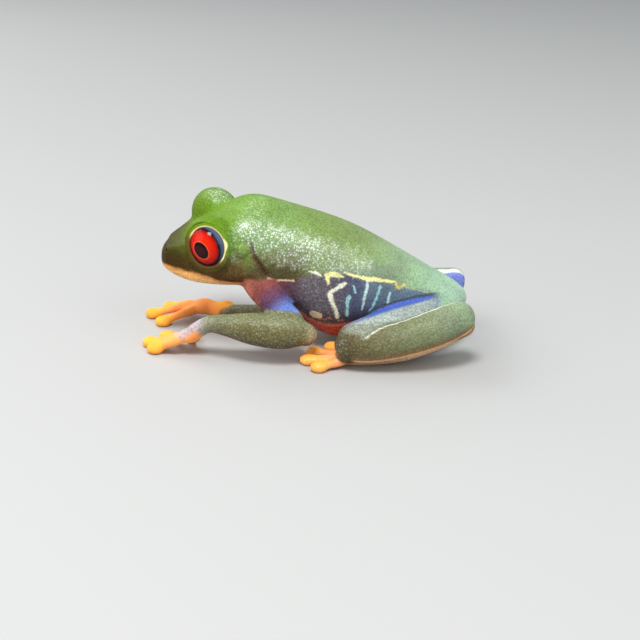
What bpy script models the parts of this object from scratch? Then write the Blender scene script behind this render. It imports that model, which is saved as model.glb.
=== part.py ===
"""A life-size red-eyed tree frog, sitting alert on all fours, as a still museum model.

The frog faces -Y, its left side is +X, and it rests on the plane Z = 0. All named sizes
are in millimetres, and each finished mesh is scaled to metres at the end.
"""

import math

import bmesh
import bpy
from mathutils import Matrix, Quaternion, Vector

MM_TO_M = 0.001
GAP = 0.3  # space left between two nodes that meet
VOXEL = 0.2  # grid of the fused flesh
BODY_TRIANGLES = 3500
ARM_TRIANGLES = 1250
LEG_TRIANGLES = 1150
SHIFT = Vector((-0.05, 1.70, 0.0))  # puts the middle of the whole frog over the origin

EYE_HALF = (2.15, 2.4, 2.0)  # half the eyeball across, upright and along the gaze
EYE_GAP = 0.2
BROW_HALF = (2.65, 3.05, 2.95)  # half the dome of the eye fore and aft, upright and outward
BROW_INWARD = 0.25  # the eye stands out of its dome by this much
EYE_OUT = 4.15  # eye centre from the middle plane
EYE_Y = -11.35
EYE_Z = 12.45
GAZE_FORWARD = 15.0  # degrees that the eye turns forward
OPENING_WIDE = 3.9  # eye opening between the lids
OPENING_TALL = 4.5
OPENING_TILT = 20.0  # degrees that its top leans forward
OPENING_DEPTH = 0.35  # the lid edge lies this far out along the gaze
OPENING_REACH = 2.2
OPENING_FLARE = 1.75  # the opening widens outward, so that the eye stands out of its lids

MOUTH_FROM = -8.8  # the corner of the mouth along Y
MOUTH_DROP = 0.5  # the mouth lies this share of the way down from the widest level to the chin
MOUTH_DEEP = 0.35
MOUTH_OPEN = 0.17  # half the height of the mouth line at the lips

HEAD_ROLL = 7.0  # degrees, right eye up, as the frog cocks its head
HEAD_PIVOT = Vector((0.0, -9.0, 11.0))
ROLL_FROM, ROLL_TO = -3.5, -9.0  # the roll grows between these places along the neck

# Each row is one ring of the head and trunk: place along Y, top, widest level and bottom in Z,
# half width, and how square the ring is (2 is an ellipse).
TRUNK_RINGS = (
    (-17.05, 9.95, 9.4, 8.85, 0.75, 2.0),
    (-16.85, 10.45, 9.35, 8.45, 1.55, 2.1),
    (-16.3, 11.1, 9.3, 8.1, 2.45, 2.2),
    (-15.2, 11.85, 9.2, 7.75, 3.45, 2.3),
    (-13.8, 12.65, 9.1, 7.5, 4.35, 2.35),
    (-12.0, 13.7, 9.1, 7.35, 5.05, 2.3),
    (-10.0, 15.0, 9.2, 7.3, 5.55, 2.2),
    (-8.2, 15.9, 9.3, 7.15, 5.7, 2.1),
    (-6.6, 16.05, 9.4, 6.4, 5.45, 2.1),
    (-5.0, 15.7, 9.2, 4.7, 5.3, 2.1),
    (-2.5, 14.9, 8.8, 2.6, 5.6, 2.15),
    (0.5, 13.85, 8.0, 0.9, 5.85, 2.35),
    (3.5, 12.65, 7.3, 0.5, 5.75, 2.4),
    (6.5, 11.1, 6.8, 0.8, 5.25, 2.3),
    (9.5, 9.35, 6.2, 1.8, 4.6, 2.2),
    (12.0, 7.8, 5.6, 2.6, 4.1, 2.2),
    (14.0, 6.65, 5.2, 3.2, 3.5, 2.2),
    (15.3, 5.8, 4.9, 3.9, 2.3, 2.1),
    (15.9, 5.2, 4.8, 4.4, 1.1, 2.0),
)
RING_SIDES = 40

# A limb is a list of stations: x, y, z and radius, for the left side.
UPPER_ARM = (
    (3.4, -6.8, 8.6, 1.9),
    (4.5, -5.9, 7.2, 1.75),
    (5.5, -4.5, 5.6, 1.4),
    (6.6, -3.0, 4.2, 1.4),
)
FOREARM_LEFT = (
    (7.5, -1.55, 3.2, 1.25),
    (7.55, -2.7, 3.5, 1.7),
    (7.6, -4.2, 3.6, 1.88),
    (7.3, -7.0, 3.75, 1.7),
    (6.7, -9.6, 3.9, 1.2),
    (6.0, -11.7, 3.75, 0.9),
    (5.5, -13.2, 2.7, 0.9),
)
FOREARM_RIGHT = (
    (-2.8, -3.8, 1.3, 1.2),
    (-3.0, -5.6, 1.3, 1.3),
    (-3.5, -8.0, 1.25, 1.15),
    (-4.2, -10.2, 1.25, 0.95),
    (-4.9, -11.8, 1.4, 0.85),
    (-5.4, -13.0, 1.5, 0.9),
)
UPPER_ARM_RIGHT = (
    (-3.4, -6.4, 8.0, 1.9),
    (-3.7, -5.4, 6.4, 1.6),
    (-3.4, -4.3, 4.2, 1.3),
    (-2.9, -3.6, 2.6, 1.2),
)
THIGH = (
    (2.7, 12.9, 4.1, 1.9),
    (4.4, 11.2, 4.0, 2.0),
    (6.0, 8.0, 3.7, 1.95),
    (7.2, 5.1, 3.3, 1.75),
    (7.9, 3.3, 3.0, 1.5),
)
SHANK_LEFT = (
    (8.9, 3.2, 2.55, 1.75),
    (9.3, 5.6, 2.8, 1.86),
    (9.4, 9.0, 3.6, 1.92),
    (8.9, 12.2, 4.6, 2.0),
    (8.1, 14.15, 5.2, 1.85),
)
SHANK_RIGHT = (
    (-8.9, 3.4, 2.5, 1.75),
    (-9.3, 5.8, 2.7, 1.86),
    (-9.0, 9.2, 3.1, 1.8),
    (-7.8, 12.8, 3.7, 1.6),
    (-6.5, 15.2, 4.45, 1.35),
)

DIGIT_RADIUS = 0.47
DISC_RADIUS = 1.0
DISC_HEIGHT = 0.62  # half the thickness of a toe disc
DISC_Z = 0.5
# A digit is its middle joint and its tip.
HAND_LEFT = (
    ((5.4, -15.3, 1.6), (4.7, -17.6, DISC_Z)),
    ((4.2, -15.9, 1.4), (2.9, -18.3, DISC_Z)),
    ((3.4, -15.0, 1.3), (1.2, -16.7, DISC_Z)),
    ((3.4, -13.9, 1.2), (1.2, -14.1, DISC_Z)),
)
HAND_RIGHT = (
    ((-7.0, -15.3, 1.2), (-8.1, -17.4, DISC_Z)),
    ((-5.7, -16.1, 1.3), (-5.9, -19.1, DISC_Z)),
    ((-4.4, -15.4, 1.1), (-3.4, -17.7, DISC_Z)),
    ((-4.8, -12.2, 1.2), (-4.9, -10.7, 1.75)),
)
PALM_LEFT = (5.1, -13.8, 2.15, 1.1)
PALM_RIGHT = (-5.5, -13.2, 1.5, 1.25)

TARSUS_LEFT = (
    (7.5, 14.9, 4.2, 1.2),
    (7.7, 12.2, 2.7, 1.05),
    (7.9, 8.8, 1.4, 0.95),
    (7.9, 5.4, 0.9, 0.95),
    (7.7, 3.4, 0.85, 1.0),
)
TARSUS_RIGHT = (
    (-6.3, 15.4, 4.0, 1.15),
    (-7.0, 12.2, 2.5, 1.05),
    (-7.7, 8.8, 1.3, 0.95),
    (-7.9, 5.4, 0.9, 0.95),
    (-7.7, 3.4, 0.85, 1.0),
)
FOOT_LEFT = (
    ((9.1, 1.9, 0.75), (9.7, -0.1, DISC_Z)),
    ((8.3, 1.0, 0.8), (7.8, -1.2, DISC_Z)),
    ((7.0, 1.2, 0.75), (5.8, -0.6, DISC_Z)),
    ((6.4, 2.2, 0.7), (4.4, 1.3, DISC_Z)),
    ((6.3, 3.8, 0.7), (4.4, 3.9, DISC_Z)),
)

GREEN = (0.085, 0.22, 0.035)
OLIVE = (0.10, 0.15, 0.05)
BLUE = (0.05, 0.09, 0.42)
ORANGE = (0.85, 0.27, 0.02)
RED = (0.75, 0.03, 0.01)


def clear_scene():
    """Empties the startup scene."""
    for obj in list(bpy.data.objects):
        bpy.data.objects.remove(obj, do_unlink=True)


def mirrored(rows):
    """The same stations on the other side of the middle plane."""
    return tuple((-row[0], *row[1:]) for row in rows)


def mirrored_digits(digits):
    """The same fingers or toes on the other side of the middle plane."""
    return tuple(tuple((-x, y, z) for x, y, z in digit) for digit in digits)


def smooth_steps(rows, steps):
    """Catmull-Rom points through the rows, each row a tuple of numbers."""
    padded = [rows[0], *rows, rows[-1]]
    out = []
    for i in range(len(rows) - 1):
        before, start, end, after = padded[i : i + 4]
        for k in range(steps):
            t = k / steps
            out.append(
                tuple(
                    0.5 * (2 * b + (c - a) * t + (2 * a - 5 * b + 4 * c - d) * t**2
                           + (3 * b - a - 3 * c + d) * t**3)
                    for a, b, c, d in zip(before, start, end, after)
                )
            )
    out.append(tuple(rows[-1]))
    return out


def object_from(bm, name):
    """Stores a bmesh as a new object with its faces pointing out."""
    bmesh.ops.recalc_face_normals(bm, faces=bm.faces)
    mesh = bpy.data.meshes.new(name)
    bm.to_mesh(mesh)
    bm.free()
    obj = bpy.data.objects.new(name, mesh)
    bpy.context.scene.collection.objects.link(obj)
    return obj


def skin_rings(bm, rings):
    """Joins rings of vertices into a closed tube with a fan at each end."""
    loops = [[bm.verts.new(p) for p in ring] for ring in rings]
    count = len(loops[0])
    for low, high in zip(loops, loops[1:]):
        for i in range(count):
            j = (i + 1) % count
            bm.faces.new((low[i], low[j], high[j], high[i]))
    for loop in (loops[0], loops[-1]):
        middle = bm.verts.new(sum((v.co for v in loop), Vector()) / count)
        for i in range(count):
            bm.faces.new((loop[i], loop[(i + 1) % count], middle))


def add_tube(bm, stations, steps=3, sides=16, grow=0.0):
    """A limb segment: round rings along a smooth line, with domed ends."""
    line = smooth_steps(stations, steps)
    points = [Vector(row[:3]) for row in line]
    radii = [row[3] + grow for row in line]
    frames = []
    for i in range(len(points)):
        along = points[min(i + 1, len(points) - 1)] - points[max(i - 1, 0)]
        frames.append(along.normalized().to_track_quat("Z", "Y"))
    dome = [math.radians(a) for a in (75, 50, 25)]
    placed = []
    for angle in dome:
        back = frames[0] @ Vector((0, 0, -radii[0] * math.sin(angle)))
        placed.append((points[0] + back, radii[0] * math.cos(angle), frames[0]))
    placed += list(zip(points, radii, frames))
    for angle in reversed(dome):
        ahead = frames[-1] @ Vector((0, 0, radii[-1] * math.sin(angle)))
        placed.append((points[-1] + ahead, radii[-1] * math.cos(angle), frames[-1]))
    rings = []
    for middle, radius, frame in placed:
        turn = [2 * math.pi * k / sides for k in range(sides)]
        rings.append([middle + frame @ Vector((radius * math.cos(a), radius * math.sin(a), 0)) for a in turn])
    skin_rings(bm, rings)


def add_ball(bm, centre, radii, turn=None, detail=3):
    """An ellipsoid with the given half sizes."""
    place = Matrix.Translation(centre) @ (turn.to_matrix().to_4x4() if turn else Matrix())
    sizes = Matrix.Diagonal((*radii, 1.0))
    bmesh.ops.create_icosphere(bm, subdivisions=detail, radius=1.0, matrix=place @ sizes)


def rolled(point):
    """A point of the head after the head is cocked to one side."""
    share = (point.y - ROLL_FROM) / (ROLL_TO - ROLL_FROM)
    share = min(1.0, max(0.0, share))
    share = share * share * (3 - 2 * share)
    turn = Matrix.Rotation(math.radians(HEAD_ROLL) * share, 4, "Y")
    return HEAD_PIVOT + turn @ (point - HEAD_PIVOT)


def trunk_ring(y, top, level, bottom, half, power):
    """One cross-section of the head or trunk."""
    ring = []
    for k in range(RING_SIDES):
        a = 2 * math.pi * k / RING_SIDES
        across = math.copysign(abs(math.cos(a)) ** (2 / power), math.cos(a)) * half
        height = top - level if math.sin(a) > 0 else level - bottom
        up = math.copysign(abs(math.sin(a)) ** (2 / power), math.sin(a)) * height
        ring.append(rolled(Vector((across, y, level + up))))
    return ring


def add_trunk(bm):
    """Head and trunk as one closed form."""
    skin_rings(bm, [trunk_ring(*row) for row in smooth_steps(TRUNK_RINGS, 3)])


def eye_place(side):
    """Centre of one eye. side is 1 for the left eye and -1 for the right."""
    return rolled(Vector((side * EYE_OUT, EYE_Y, EYE_Z)))


def gaze_turn(side):
    """Turns +Z into the direction in which the eye looks, and +Y to the top of its opening."""
    forward = math.radians(GAZE_FORWARD)
    aim = Vector((side * math.cos(forward), -math.sin(forward), 0.12)).normalized()
    tilt = Quaternion((0, 0, 1), math.radians(side * OPENING_TILT))
    return aim.to_track_quat("Z", "Y") @ tilt


def add_brows(bm):
    """The domes that carry the eyes, and the ridge from each eye to the snout."""
    for side in (1, -1):
        inward = Vector((-side * BROW_INWARD, 0, 0))
        add_ball(bm, eye_place(side) + inward, BROW_HALF, gaze_turn(side))
        ridge = (
            (side * 3.3, -12.6, 11.6, 1.5),
            (side * 2.4, -14.4, 11.0, 1.0),
            (side * 1.6, -15.7, 10.6, 0.75),
        )
        add_tube(bm, [(*rolled(Vector(row[:3])), row[3]) for row in ridge], steps=3, sides=14)


def add_digits(bm, palm, digits):
    """Fingers or toes from the palm to their round discs."""
    root = Vector(palm[:3])
    for bend, tip in digits:
        start = root.lerp(Vector(bend), 0.2)
        path = (
            (*start, DIGIT_RADIUS * 1.3),
            (*bend, DIGIT_RADIUS * 1.12),
            (*Vector(bend).lerp(Vector(tip), 0.55), DIGIT_RADIUS),
            (*tip, DIGIT_RADIUS),
        )
        add_tube(bm, path, steps=3, sides=12)
        aim = (Vector(tip) - Vector(bend)).normalized()
        turn = Vector((aim.x, aim.y, 0)).to_track_quat("Y", "Z")
        add_ball(bm, tip, (DISC_RADIUS * 0.95, DISC_RADIUS, DISC_HEIGHT), turn, detail=2)


def add_hand(bm, palm, digits):
    """One hand with its four fingers."""
    x, y, z, half = palm
    add_ball(bm, (x, y, z), (half, half * 1.15, half * 0.72), detail=2)
    add_digits(bm, palm, digits)


def add_foot(bm, tarsus, digits):
    """The long ankle, the sole and five toes."""
    add_tube(bm, tarsus)
    x, y, z, half = tarsus[-1]
    add_ball(bm, (x, y - 0.3, z), (half * 1.35, half * 1.5, half * 0.72), detail=2)
    add_digits(bm, tarsus[-1], digits)


def apply_modifiers(obj):
    """Bakes the object's modifiers into its mesh."""
    graph = bpy.context.evaluated_depsgraph_get()
    mesh = bpy.data.meshes.new_from_object(obj.evaluated_get(graph))
    obj.modifiers.clear()
    obj.data = mesh


def fuse(obj, triangles):
    """Melts overlapping forms into one skin, softens it and thins its faces."""
    remesh = obj.modifiers.new("fuse", "REMESH")
    remesh.mode = "VOXEL"
    remesh.voxel_size = VOXEL
    soften = obj.modifiers.new("soften", "SMOOTH")
    soften.factor = 0.5
    soften.iterations = 6
    apply_modifiers(obj)
    flatten_feet(obj)
    thin = obj.modifiers.new("thin", "DECIMATE")
    thin.ratio = triangles / (2 * len(obj.data.polygons))
    thin.use_collapse_triangulate = True
    apply_modifiers(obj)


def flatten_feet(obj):
    """Presses whatever reaches below the floor flat onto it."""
    for vertex in obj.data.vertices:
        vertex.co.z = max(vertex.co.z, 0.0)


def cut(obj, cutters):
    """Takes closed cutter objects away from a solid and removes them."""
    for cutter in cutters:
        boolean = obj.modifiers.new("cut", "BOOLEAN")
        boolean.operation = "DIFFERENCE"
        boolean.solver = "EXACT"
        boolean.object = cutter
        apply_modifiers(obj)
    for cutter in cutters:
        bpy.data.objects.remove(cutter, do_unlink=True)


def slab(centre, along, size):
    """A thin square plate across a limb, which parts it with a narrow gap."""
    bm = bmesh.new()
    turn = Vector(along).normalized().to_track_quat("Z", "Y").to_matrix().to_4x4()
    flat = Matrix.Diagonal((size, size, GAP, 1.0))
    bmesh.ops.create_cube(bm, size=1.0, matrix=Matrix.Translation(centre) @ turn @ flat)
    return object_from(bm, "slab")


def grown_tube(stations):
    """A limb made thicker by the gap, to cut its neighbours clear of it."""
    bm = bmesh.new()
    add_tube(bm, stations, grow=GAP)
    return object_from(bm, "clearance")


def eye_cutters(side):
    """The socket round one eye and the oval opening between its lids."""
    bm = bmesh.new()
    turn = gaze_turn(side)
    add_ball(bm, eye_place(side), [half + EYE_GAP for half in EYE_HALF], turn)
    socket = object_from(bm, "socket")
    bm = bmesh.new()
    middle = OPENING_DEPTH + OPENING_REACH / 2
    place = Matrix.Translation(eye_place(side) + turn @ Vector((0, 0, middle)))
    shape = Matrix.Diagonal((OPENING_WIDE / 2, OPENING_TALL / 2, OPENING_REACH / 2, 1.0))
    bmesh.ops.create_cone(
        bm, cap_ends=True, segments=24, radius1=0.97, radius2=OPENING_FLARE, depth=2.0,
        matrix=place @ turn.to_matrix().to_4x4() @ shape,
    )
    return [socket, object_from(bm, "opening")]


def mouth_path():
    """Points on the lips, from the left corner of the mouth round the snout to the right one."""
    half_path = []
    for y, _, level, bottom, half, power in smooth_steps(TRUNK_RINGS, 3):
        if y < MOUTH_FROM:
            x = half * (1 - MOUTH_DROP**power) ** (1 / power)
            half_path.append(Vector((x, y, level - MOUTH_DROP * (level - bottom))))
    return list(reversed(half_path)) + [Vector((-p.x, p.y, p.z)) for p in half_path]


def mouth_cutter():
    """A thin curved blade that presses the line of the mouth into the lips."""
    bm = bmesh.new()
    up = Vector((0, 0, MOUTH_OPEN))
    rings = []
    for lip in mouth_path():
        out = Vector((lip.x, lip.y - MOUTH_FROM, -0.25 * abs(lip.x))).normalized()
        rings.append([rolled(lip - out * MOUTH_DEEP), rolled(lip + out + up), rolled(lip + out - up)])
    skin_rings(bm, rings)
    return object_from(bm, "mouth")


def nostril_cutters():
    """Two small pits near the tip of the snout."""
    found = []
    for side in (1, -1):
        bm = bmesh.new()
        add_ball(bm, rolled(Vector((side * 1.75, -16.15, 10.75))), (0.3, 0.34, 0.26), detail=1)
        found.append(object_from(bm, "nostril"))
    return found


def islands(obj, landmarks):
    """Splits a parted mesh into its pieces and names each after the nearest landmark."""
    bm = bmesh.new()
    bm.from_mesh(obj.data)
    seen, groups = set(), []
    for first in bm.verts:
        if first in seen:
            continue
        group, queue = {first}, [first]
        while queue:
            for edge in queue.pop().link_edges:
                for vertex in edge.verts:
                    if vertex not in group:
                        group.add(vertex)
                        queue.append(vertex)
        seen |= group
        groups.append(group)
    for name, mark in landmarks.items():
        near = min(groups, key=lambda g: min((v.co - Vector(mark)).length for v in g))
        keep = bm.copy()
        keep.verts.ensure_lookup_table()
        wanted = {v.index for v in near}
        bmesh.ops.delete(keep, geom=[v for v in keep.verts if v.index not in wanted], context="VERTS")
        object_from(keep, name)
    bm.free()
    bpy.data.objects.remove(obj, do_unlink=True)


def material(name, colour, roughness):
    """A plain finish for one kind of surface."""
    made = bpy.data.materials.new(name)
    made.use_nodes = True
    shader = made.node_tree.nodes["Principled BSDF"]
    shader.inputs["Base Color"].default_value = (*colour, 1.0)
    shader.inputs["Roughness"].default_value = roughness
    return made


def make_body():
    """Head and trunk, melted together, then parted at the neck and cleared for limbs and eyes."""
    bm = bmesh.new()
    add_trunk(bm)
    add_brows(bm)
    body = object_from(bm, "body")
    fuse(body, BODY_TRIANGLES)
    cutters = [slab((0, -5.6, 11.0), (0, -1, 0.15), 22.0)]
    cutters += [grown_tube(rows) for rows in (THIGH, mirrored(THIGH), UPPER_ARM, UPPER_ARM_RIGHT)]
    cutters += eye_cutters(1) + eye_cutters(-1) + nostril_cutters() + [mouth_cutter()]
    cut(body, cutters)
    islands(body, {"head": (0, -15.0, 12.0), "torso": (0, 3.0, 12.5)})


def make_arm(suffix, upper, forearm, palm, digits):
    """Upper arm, forearm and hand. The wrist is parted by a thin slab."""
    bm = bmesh.new()
    add_tube(bm, upper)
    cut(object_from(bm, "upper_arm_" + suffix), [grown_tube(forearm)])
    bm = bmesh.new()
    add_tube(bm, forearm)
    add_hand(bm, palm, digits)
    arm = object_from(bm, "arm")
    fuse(arm, ARM_TRIANGLES)
    outer, wrist = Vector(forearm[-3][:3]), Vector(forearm[-2][:3])
    cut(arm, [slab(wrist, wrist - outer, 3.4)])
    islands(arm, {"forearm_" + suffix: forearm[1][:3], "hand_" + suffix: palm[:3]})


def make_eye(side, name):
    """One eyeball, a little flattened along the gaze."""
    bm = bmesh.new()
    add_ball(bm, eye_place(side), EYE_HALF, gaze_turn(side))
    return object_from(bm, name)


def make_leg(side, suffix, shank, tarsus, toes):
    """Thigh, shank and foot of one folded hind leg."""
    thigh = THIGH if side > 0 else mirrored(THIGH)
    for name, rows in (("thigh_", thigh), ("shank_", shank)):
        bm = bmesh.new()
        add_tube(bm, rows)
        object_from(bm, name + suffix)
    bm = bmesh.new()
    add_foot(bm, tarsus, toes)
    foot = object_from(bm, "whole_foot")
    fuse(foot, LEG_TRIANGLES)
    cut(foot, [grown_tube(shank), grown_tube(thigh)])
    islands(foot, {"foot_" + suffix: tarsus[-1][:3]})
    cut(bpy.data.objects["thigh_" + suffix], [grown_tube(shank)])


FINISHES = {
    "head": ("green_skin", GREEN, 0.4),
    "torso": ("green_skin", GREEN, 0.4),
    "upper_arm": ("blue_skin", BLUE, 0.4),
    "forearm": ("olive_skin", OLIVE, 0.45),
    "thigh": ("blue_skin", BLUE, 0.4),
    "shank": ("olive_skin", OLIVE, 0.45),
    "hand": ("orange_skin", ORANGE, 0.35),
    "foot": ("orange_skin", ORANGE, 0.35),
    "eye": ("red_eye", RED, 0.08),
}


def finish_nodes():
    """Gives each node its finish, centres the frog over the origin and turns it to metres."""
    made = {}
    for obj in list(bpy.context.scene.objects):
        kind = obj.name.replace("_left", "").replace("_right", "")
        name, colour, roughness = FINISHES[kind]
        if name not in made:
            made[name] = material(name, colour, roughness)
        obj.data.materials.clear()
        obj.data.materials.append(made[name])
        obj.data.transform(Matrix.Scale(MM_TO_M, 4) @ Matrix.Translation(SHIFT))
        obj.data.shade_smooth()
        obj.data.set_sharp_from_angle(angle=math.radians(40))


def main():
    """Builds every node of the frog."""
    clear_scene()
    make_body()
    make_arm("left", UPPER_ARM, FOREARM_LEFT, PALM_LEFT, HAND_LEFT)
    make_arm("right", UPPER_ARM_RIGHT, FOREARM_RIGHT, PALM_RIGHT, HAND_RIGHT)
    make_eye(1, "eye_left")
    make_eye(-1, "eye_right")
    make_leg(1, "left", SHANK_LEFT, TARSUS_LEFT, FOOT_LEFT)
    make_leg(-1, "right", SHANK_RIGHT, TARSUS_RIGHT, mirrored_digits(FOOT_LEFT))
    finish_nodes()


main()
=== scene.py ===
# %% [markdown]
# # A red-eyed tree frog, life size
#
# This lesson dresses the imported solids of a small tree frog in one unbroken, moist skin. The
# solids give the true size and pose. The skin, the eyes and the light are made here.

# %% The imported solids
import math

import bmesh
import bpy
import numpy as np
from mathutils import Matrix, Quaternion, Vector


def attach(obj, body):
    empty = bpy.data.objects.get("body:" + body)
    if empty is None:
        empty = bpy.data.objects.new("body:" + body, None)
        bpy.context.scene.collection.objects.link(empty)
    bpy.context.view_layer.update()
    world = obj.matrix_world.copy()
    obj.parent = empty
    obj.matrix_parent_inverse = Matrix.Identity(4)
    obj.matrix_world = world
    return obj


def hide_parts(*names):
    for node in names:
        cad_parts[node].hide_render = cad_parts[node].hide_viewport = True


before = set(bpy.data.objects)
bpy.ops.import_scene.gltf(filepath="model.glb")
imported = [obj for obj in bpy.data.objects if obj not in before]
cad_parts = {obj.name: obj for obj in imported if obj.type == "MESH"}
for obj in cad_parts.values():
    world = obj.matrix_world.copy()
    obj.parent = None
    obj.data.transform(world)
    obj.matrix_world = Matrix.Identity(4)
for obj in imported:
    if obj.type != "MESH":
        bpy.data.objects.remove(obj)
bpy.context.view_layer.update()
MM = 0.001

# %% [markdown]
# ## The frog's measures
#
# A real frog is a soft sack held in shape by bone and muscle, so it has no flat faces and no
# seams. It could be sculpted freely, but then it would drift away from the solids. So the same
# few measures that made the solids are used again: rings along the body, and stations along
# each limb. They are in millimetres. The frog faces -Y and its left side is +X.

# %% Measures of head and trunk
SHIFT = Vector((-0.05, 1.70, 0.0))  # puts the middle of the whole frog over the origin
HEAD_ROLL = 7.0  # degrees, right eye up, as the frog cocks its head
HEAD_PIVOT = Vector((0.0, -9.0, 11.0))
ROLL_FROM, ROLL_TO = -3.5, -9.0  # the roll grows between these places along the neck

# Each row is one ring: place along Y, top, widest level and bottom in Z, half width, and how
# square the ring is (2 is an ellipse).
TRUNK_RINGS = (
    (-17.05, 9.95, 9.4, 8.85, 0.75, 2.0),
    (-16.85, 10.45, 9.35, 8.45, 1.55, 2.1),
    (-16.3, 11.1, 9.3, 8.1, 2.45, 2.2),
    (-15.2, 11.85, 9.2, 7.75, 3.45, 2.3),
    (-13.8, 12.65, 9.1, 7.5, 4.35, 2.35),
    (-12.0, 13.7, 9.1, 7.35, 5.05, 2.3),
    (-10.0, 15.0, 9.2, 7.3, 5.55, 2.2),
    (-8.2, 15.9, 9.3, 7.15, 5.7, 2.1),
    (-6.6, 16.05, 9.4, 6.4, 5.45, 2.1),
    (-5.0, 15.7, 9.2, 4.7, 5.3, 2.1),
    (-2.5, 14.9, 8.8, 2.6, 5.6, 2.15),
    (0.5, 13.85, 8.0, 0.9, 5.85, 2.35),
    (3.5, 12.65, 7.3, 0.5, 5.75, 2.4),
    (6.5, 11.1, 6.8, 0.8, 5.25, 2.3),
    (9.5, 9.35, 6.2, 1.8, 4.6, 2.2),
    (12.0, 7.8, 5.6, 2.6, 4.1, 2.2),
    (14.0, 6.65, 5.2, 3.2, 3.5, 2.2),
    (15.3, 5.8, 4.9, 3.9, 2.3, 2.1),
    (15.9, 5.2, 4.8, 4.4, 1.1, 2.0),
)

# %% Measures of the eyes and the mouth
EYE_HALF = (2.15, 2.4, 2.0)  # half the eyeball across, upright and along the gaze
BROW_HALF = (2.65, 3.05, 2.95)  # half the dome of the eye fore and aft, upright and outward
BROW_INWARD = 0.25
EYE_OUT, EYE_Y, EYE_Z = 4.15, -11.35, 12.45
GAZE_FORWARD = 15.0
OPENING_WIDE, OPENING_TALL = 3.65, 4.2
OPENING_TILT = 20.0
OPENING_DEPTH, OPENING_REACH, OPENING_FLARE = 0.35, 2.2, 1.75
MOUTH_FROM, MOUTH_DROP = -8.8, 0.5
LID_HALF = (2.08, 2.28)  # the lid's rim is an oval of these half sizes
LID_DEPTH = 1.02
LID_WIDE, LID_THICK = 0.24, 0.14

# %% Measures of the limbs
# A limb is a list of stations: x, y, z and radius.
UPPER_ARM_LEFT = ((3.4, -6.8, 8.6, 1.9), (4.5, -5.9, 7.2, 1.75), (5.5, -4.5, 5.6, 1.4), (6.6, -3.0, 4.2, 1.4))
UPPER_ARM_RIGHT = (
    (-3.4, -6.4, 8.0, 1.9), (-3.7, -5.4, 6.4, 1.6), (-3.4, -4.3, 4.2, 1.3), (-2.9, -3.6, 2.6, 1.2),
)
FOREARM_LEFT = (
    (7.5, -1.55, 3.2, 1.25), (7.55, -2.7, 3.5, 1.7), (7.6, -4.2, 3.6, 1.88), (7.3, -7.0, 3.75, 1.7),
    (6.7, -9.6, 3.9, 1.2), (6.0, -11.7, 3.75, 0.9), (5.5, -13.2, 2.7, 0.9),
)
FOREARM_RIGHT = (
    (-2.8, -3.8, 1.3, 1.2), (-3.0, -5.6, 1.3, 1.3), (-3.5, -8.0, 1.25, 1.15),
    (-4.2, -10.2, 1.25, 0.95), (-4.9, -11.8, 1.4, 0.85), (-5.4, -13.0, 1.5, 0.9),
)
THIGH_LEFT = (
    (2.7, 12.9, 4.1, 1.9), (4.4, 11.2, 4.0, 2.0), (6.0, 8.0, 3.7, 1.95),
    (7.2, 5.1, 3.3, 1.75), (7.9, 3.3, 3.0, 1.5),
)
SHANK_LEFT = (
    (8.9, 3.2, 2.55, 1.75), (9.3, 5.6, 2.8, 1.86), (9.4, 9.0, 3.6, 1.92),
    (8.9, 12.2, 4.6, 2.0), (8.1, 14.15, 5.2, 1.85),
)
SHANK_RIGHT = (
    (-8.9, 3.4, 2.5, 1.75), (-9.3, 5.8, 2.7, 1.86), (-9.0, 9.2, 3.1, 1.8),
    (-7.8, 12.8, 3.7, 1.6), (-6.5, 15.2, 4.45, 1.35),
)
TARSUS_LEFT = (
    (7.5, 14.9, 4.2, 1.2), (7.7, 12.2, 2.7, 1.05), (7.9, 8.8, 1.4, 0.95),
    (7.9, 5.4, 0.9, 0.95), (7.7, 3.4, 0.85, 1.0),
)
TARSUS_RIGHT = (
    (-6.3, 15.4, 4.0, 1.15), (-7.0, 12.2, 2.5, 1.05), (-7.7, 8.8, 1.3, 0.95),
    (-7.9, 5.4, 0.9, 0.95), (-7.7, 3.4, 0.85, 1.0),
)
PALM_LEFT = (5.1, -13.8, 2.15, 1.1)
PALM_RIGHT = (-5.5, -13.2, 1.5, 1.25)

# %% Measures of fingers and toes
DIGIT_RADIUS = 0.47
DISC_RADIUS = 1.0
DISC_HEIGHT = 0.62
DISC_Z = 0.5
# A digit is its middle joint and its tip.
HAND_LEFT = (
    ((5.4, -15.3, 1.6), (4.7, -17.6, DISC_Z)),
    ((4.2, -15.9, 1.4), (2.9, -18.3, DISC_Z)),
    ((3.4, -15.0, 1.3), (1.2, -16.7, DISC_Z)),
    ((3.4, -13.9, 1.2), (1.2, -14.1, DISC_Z)),
)
HAND_RIGHT = (
    ((-7.0, -15.3, 1.2), (-8.1, -17.4, DISC_Z)),
    ((-5.7, -16.1, 1.3), (-5.9, -19.1, DISC_Z)),
    ((-4.4, -15.4, 1.1), (-3.4, -17.7, DISC_Z)),
    ((-4.8, -12.2, 1.2), (-4.9, -10.7, 1.75)),
)
FOOT_LEFT = (
    ((9.1, 1.9, 0.75), (9.7, -0.1, DISC_Z)),
    ((8.3, 1.0, 0.8), (7.8, -1.2, DISC_Z)),
    ((7.0, 1.2, 0.75), (5.8, -0.6, DISC_Z)),
    ((6.4, 2.2, 0.7), (4.4, 1.3, DISC_Z)),
    ((6.3, 3.8, 0.7), (4.4, 3.9, DISC_Z)),
)
THIGH_RIGHT = tuple((-x, y, z, r) for x, y, z, r in THIGH_LEFT)
FOOT_RIGHT = tuple(tuple((-x, y, z) for x, y, z in digit) for digit in FOOT_LEFT)
print("trunk rings:", len(TRUNK_RINGS), "digits:", 2 * len(FOOT_LEFT) + len(HAND_LEFT) + len(HAND_RIGHT))

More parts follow.
